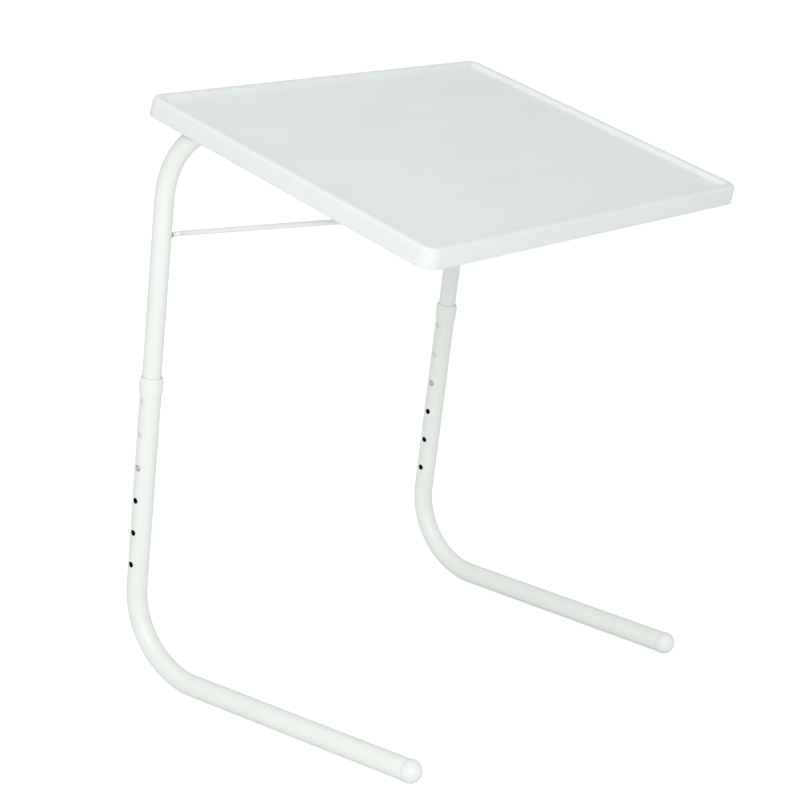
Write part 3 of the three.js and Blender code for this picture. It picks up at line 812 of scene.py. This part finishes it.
def build_end_plug(word, side):
    base = Vector((side * POST_HALF_SPACING, HINGE.y, HINGE.z)) + HINGE_DIRECTION * UPPER_TUBE_TAIL
    stem = UPPER_TUBE_BORE - CLEARANCE
    lip = UPPER_TUBE_RADIUS - 0.4 * MM
    profile = filleted([(0, -2 * MM), (stem, -2 * MM, 0.4 * MM), (stem, CLEARANCE, 0.05 * MM),
                        (lip, CLEARANCE, 0.15 * MM), (lip - 0.3 * MM, 1.4 * MM, 0.7 * MM), (0, 1.9 * MM)])
    add_piece(f"end_plug_{word}", turned(profile, base, HINGE_DIRECTION), [SATIN], "upper_frame",
              "white_plastic", f"tube_plug_{word}")


def build_axle():
    ends = [Vector((x, HINGE.y, HINGE.z)) for x in (-CROSS_TUBE_HALF_LENGTH, CROSS_TUBE_HALF_LENGTH)]
    middle = [end.lerp(ends[1 - i], 0.02) for i, end in enumerate(ends)]
    stations = [(point, X_AXIS) for point in (ends[0], *middle, ends[1])]
    shape = tube(stations, CROSS_TUBE_RADIUS, CROSS_TUBE_BORE, 48)
    # Its bore takes the near-black painted shade.
    add_piece("axle_tube", shape, [PAINT, BORE_PAINTED_SHADE], "upper_frame", "painted_tube", "cross_tube")


def build_bush(word, side):
    origin = on_post(side, STRUT_POST_HEIGHT) - X_AXIS * side * (UPPER_TUBE_RADIUS + CLEARANCE)
    reach = POST_HALF_SPACING - UPPER_TUBE_RADIUS - STRUT_TIP_X - 2 * CLEARANCE
    flange = BUSH_FLANGE_RADIUS
    shank = BUSH_SHANK_RADIUS
    socket = reach - 0.8 * MM
    profile = filleted([(0, -BUSH_DEPTH), (shank, -BUSH_DEPTH, 0.5 * MM), (shank, 0, 0.1 * MM),
                        (flange, 0, 0.2 * MM), (flange, 0.9 * MM, 0.3 * MM), (shank, 1.5 * MM, 0.4 * MM),
                        (shank, reach, 0.4 * MM), (2.3 * MM, reach, 0.3 * MM), (2.0 * MM, socket, 0.3 * MM),
                        (0, socket)])
    add_piece(f"strut_grommet_{word}", turned(profile, origin, -X_AXIS * side, SMALL_SIDES), [RUBBER],
              "upper_frame", "dark_rubber", f"strut_bush_{word}")


def build_spring(word, side):
    """A bent leaf spring inside the post, one arm behind each button."""
    outer = 5.5 * MM
    inner = 4.7 * MM
    low = BUTTON_HEIGHT - 18 * MM + outer
    high = BUTTON_HEIGHT + 6 * MM
    arc = [math.pi * k / 20 for k in range(21)]
    outline = [(outer, high), (inner, high)]
    outline += [(inner * math.cos(a), low - inner * math.sin(a)) for a in arc]
    outline += [(-inner, high), (-outer, high)]
    outline += [(-outer * math.cos(a), low - outer * math.sin(a)) for a in arc]
    across = X_AXIS.cross(POST_UP)
    width = 6 * MM

    def place(a, b, c):
        return on_post(side, b) + X_AXIS * a + across * (c - width / 2)

    add_piece(f"leaf_spring_{word}", extruded(outline, place, width, 0.15 * MM), [ZINC], "upper_frame",
              "plated_steel", f"clip_spring_{word}")


def build_button(word, side, place, way):
    """A domed button with the flange that keeps it inside the tube."""
    profile = filleted([(0, BUTTON_INNER_END), (BUTTON_FLANGE_RADIUS, BUTTON_INNER_END, 0.3 * MM),
                        (BUTTON_FLANGE_RADIUS, BUTTON_SHOULDER, 0.3 * MM),
                        (BUTTON_RADIUS, BUTTON_SHOULDER, 0.1 * MM),
                        (BUTTON_RADIUS, BUTTON_OUTER_END - 0.8 * MM, 1.2 * MM),
                        (1.2 * MM, BUTTON_OUTER_END - 0.08 * MM, 2 * MM), (0, BUTTON_OUTER_END)])
    shape = turned(profile, on_post(side, BUTTON_HEIGHT), X_AXIS * way, 48)
    add_piece(f"press_button_{word}_{place}", shape, [ZINC], f"button_{word}_{place}", "plated_steel",
              f"height_button_{word}_{place}")


# ---------------------------------------------------------------- lower legs
def build_leg_tube(word, side):
    corners = [on_post(side, LOWER_TUBE_TOP), foot_corner(side), foot_end(side)]
    stations = bent_path(corners, [LOWER_BEND_RADIUS])
    shape = tube(stations, LOWER_TUBE_RADIUS, LOWER_TUBE_BORE)
    reach = LOWER_TUBE_RADIUS + 2 * MM
    for i in range(HOLE_COUNT):
        along = BUTTON_HEIGHT + (HOLES_ABOVE_BUTTON - i) * HOLE_PITCH
        # The post's paint shows through the holes above the button, so their walls are painted too; the walls
        # of the lower holes take the bore's near-black, painted shade in the holes.
        wall = 0 if i < HOLES_ABOVE_BUTTON else 1
        shape = cut_shapes(shape, across_post(side, along, -reach, reach, HOLE_RADIUS, wall))
    add_piece(f"leg_tube_{word}", shape, [PAINT, BORE_PAINTED_SHADE], f"leg_{word}", "painted_tube", f"lower_tube_{word}")


def build_collar(word, side):
    """The sleeve over the lower tube's mouth, slightly barrelled, with a chamfered top lip."""
    height = COLLAR_TOP - COLLAR_BOTTOM
    lip_start = LOWER_TUBE_TOP + CLEARANCE - COLLAR_BOTTOM
    radius = COLLAR_RADIUS
    profile = filleted([(COLLAR_BORE, 0, 0.15 * MM), (radius - 0.35 * MM, 0, 0.2 * MM),
                        (radius, 5 * MM, 12 * MM), (radius, height - 2.6 * MM, 8 * MM),
                        (radius - 0.25 * MM, height - 1.6 * MM, 0.5 * MM),
                        (radius - 1.2 * MM, height, 0.4 * MM),
                        (COLLAR_LIP_BORE, height, 0.3 * MM), (COLLAR_LIP_BORE, lip_start, 0.1 * MM),
                        (COLLAR_BORE, lip_start, 0.1 * MM)], closed=True)
    add_piece(f"mouth_collar_{word}", turned(profile, on_post(side, COLLAR_BOTTOM), POST_UP, closed=True),
              [COLLAR_PLASTIC], f"leg_{word}", "white_plastic", f"collar_{word}")


def build_cap(word, side):
    """The domed plug in the foot's end, with a small shoulder at the tube and a flat base to stand on."""
    stem = LOWER_TUBE_BORE - CLEARANCE - 0.1 * MM
    straight = CAP_LENGTH - CAP_ROUND
    profile = filleted([(0, -CAP_STEM_LENGTH), (stem - 1.5 * MM, -CAP_STEM_LENGTH, 0.4 * MM),
                        (stem, 2 * MM - CAP_STEM_LENGTH, 0.8 * MM),
                        (stem, CLEARANCE, 0.1 * MM), (CAP_RADIUS - 0.5 * MM, CLEARANCE, 0.3 * MM),
                        (CAP_RADIUS, 2.2 * MM, 2 * MM), (CAP_RADIUS, straight)])
    steps = 18
    for i in range(1, steps):
        angle = math.pi / 2 * i / steps
        profile.append(Vector((CAP_RADIUS * math.cos(angle), straight + CAP_ROUND * math.sin(angle))))
    profile.append(Vector((0, CAP_LENGTH)))
    shape = turned(profile, foot_end(side), foot_direction(side), 72)
    for vertex in shape.verts:
        vertex.co.z = max(vertex.co.z, CAP_BASE)
    add_piece(f"end_cap_{word}", shape, [SATIN], f"leg_{word}", "white_plastic", f"foot_cap_{word}")


# ---------------------------------------------------------------- studio
def seen_directly(tree, lighting, shown, socket):
    """Sets a strength for what lights the table and another for what the picture's background shows."""
    path = tree.nodes.new("ShaderNodeLightPath")
    pick = tree.nodes.new("ShaderNodeMapRange")
    pick.inputs["To Min"].default_value = lighting
    pick.inputs["To Max"].default_value = shown
    tree.links.new(path.outputs["Is Camera Ray"], pick.inputs["Value"])
    tree.links.new(pick.outputs["Result"], socket)


def build_studio():
    camera = bpy.data.objects.new("camera", bpy.data.cameras.new("camera"))
    camera.location = (-1.5485, -1.3301, 0.9077)
    camera.rotation_euler = Euler([math.radians(angle) for angle in (73.867, -0.983, -48.208)])
    camera.data.lens = 86.17
    camera.data.sensor_width = 36
    bpy.context.scene.collection.objects.link(camera)
    bpy.context.scene.camera = camera

    floor_half = 40
    floor_shape = bmesh.new()
    floor_shape.faces.new([floor_shape.verts.new((x * floor_half, y * floor_half, -0.1 * MM))
                           for x, y in SQUARE])
    floor_mesh = bpy.data.meshes.new("floor")
    floor_shape.to_mesh(floor_mesh)
    floor_shape.free()
    floor = bpy.data.objects.new("floor", floor_mesh)
    bpy.context.scene.collection.objects.link(floor)
    paper = node_material("studio_paper", (0.9, 0.9, 0.9), 0.9)
    paper_shader = paper.node_tree.nodes["Principled BSDF"]
    paper_shader.inputs["Specular IOR Level"].default_value = 0
    paper_shader.inputs["Emission Color"].default_value = (1, 1, 1, 1)
    seen_directly(paper.node_tree, 0, 0.46, paper_shader.inputs["Emission Strength"])
    # Seen from underneath, the paper is clear, so the table shows through it.
    nodes = paper.node_tree.nodes
    clear = nodes.new("ShaderNodeBsdfTransparent")
    facing = nodes.new("ShaderNodeNewGeometry")
    choose = nodes.new("ShaderNodeMixShader")
    links = paper.node_tree.links
    links.new(facing.outputs["Backfacing"], choose.inputs["Fac"])
    links.new(paper_shader.outputs["BSDF"], choose.inputs[1])
    links.new(clear.outputs["BSDF"], choose.inputs[2])
    links.new(choose.outputs["Shader"], nodes["Material Output"].inputs["Surface"])
    floor_mesh.materials.append(paper)

    world = bpy.data.worlds.new("studio")
    world.use_nodes = True
    background = world.node_tree.nodes["Background"]
    background.inputs["Color"].default_value = (1, 1, 1, 1)
    seen_directly(world.node_tree, 0.65, 1.1, background.inputs["Strength"])
    bpy.context.scene.world = world

    for name, azimuth, elevation, distance, size, power in (
            ("key", 224, 20, 3.2, 1.6, 35), ("top", 150, 70, 3.0, 2.4, 10)):
        light = bpy.data.objects.new(name, bpy.data.lights.new(name, "AREA"))
        light.data.size = size
        light.data.energy = power
        a = math.radians(azimuth)
        e = math.radians(elevation)
        target = Vector((0, 0, 0.4))
        away = Vector((math.cos(a) * math.cos(e), math.sin(a) * math.cos(e), math.sin(e)))
        light.location = target + away * distance
        light.rotation_euler = away.to_track_quat("Z", "Y").to_euler()
        bpy.context.scene.collection.objects.link(light)

    bpy.context.scene.view_settings.view_transform = "Standard"


build_studio()
build_tray()
build_underside()
build_strut()
build_axle()
for word, side in SIDES:
    build_post_tube(word, side)
    build_end_plug(word, side)
    build_bush(word, side)
    build_spring(word, side)
    build_button(word, side, "outer", side)
    build_button(word, side, "inner", -side)
    build_leg_tube(word, side)
    build_collar(word, side)
    build_cap(word, side)
